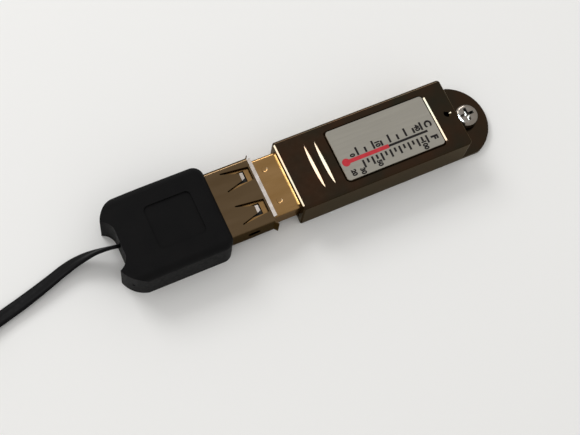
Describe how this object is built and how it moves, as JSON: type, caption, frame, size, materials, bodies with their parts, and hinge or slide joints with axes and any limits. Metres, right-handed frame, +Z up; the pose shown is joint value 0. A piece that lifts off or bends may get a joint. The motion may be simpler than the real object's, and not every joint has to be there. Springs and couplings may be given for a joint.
{
  "type": "plug-in temperature and humidity sensor",
  "caption": "Slim metal stick sensor with a rectangular plug, seated in the moulded socket of a short flat extension lead that ends in a matching plug.",
  "frame": {"origin": "bottom centre of the sensor stick, the socket and its moulded block, on the surface that they lie on; the free cord, its hank, strap and far plug don't count", "axes": "+X along the stick from the lead to the tail tab, which is also the way the stick pulls out, +Y across it, +Z up"},
  "size_m": [0.1957, 0.0257, 0.0079],
  "materials": {
    "dark_nickel": "polished dark plate on a casting",
    "label_foil": "matt printed metal plate",
    "bright_steel": "plated steel",
    "warm_gold_plate": "polished, warm",
    "warm_nickel": "polished folded sheet",
    "black_mould": "fine satin moulding",
    "black_cord": "satin flat cord",
    "black_strap": "hook and loop tape",
    "black_insulator": "moulded",
    "gold_contact": "plated",
    "board_laminate": "lacquered laminate",
    "chip_mould": "moulded",
    "chip_ceramic": "fired"
  },
  "bodies": {
    "lead": {"socket_shell": "warm_nickel", "socket_insulator": "black_insulator", "socket_block": "black_mould", "far_plug_shell": "warm_nickel", "far_plug_tongue": "black_insulator", "far_plug_block": "black_mould", "cord_hank": "black_cord", "cord_strap": "black_strap", "lead_cord": "black_cord", "cord_tail": "black_cord", "socket_contact_1": "gold_contact", "far_plug_contact_1": "gold_contact", "socket_contact_2": "gold_contact", "far_plug_contact_2": "gold_contact", "socket_contact_3": "gold_contact", "far_plug_contact_3": "gold_contact", "socket_contact_4": "gold_contact", "far_plug_contact_4": "gold_contact"},
    "stick": {"cover": "dark_nickel", "base_plate": "dark_nickel", "label_plate": "label_foil", "tail_screw": "bright_steel", "circuit_board": "board_laminate", "sensor_chip": "chip_mould", "controller_chip": "chip_mould", "crystal": "bright_steel", "board_chips": "chip_ceramic", "plug_shell": "warm_gold_plate", "plug_tongue": "black_insulator", "plug_contact_1": "gold_contact", "plug_contact_2": "gold_contact", "plug_contact_3": "gold_contact", "plug_contact_4": "gold_contact"}
  },
  "joints": [
    {"name": "plug_pull", "type": "slide", "parent": "lead", "child": "stick", "axis": [1, 0, 0], "range_m": [0, 0.0082]}
  ]
}
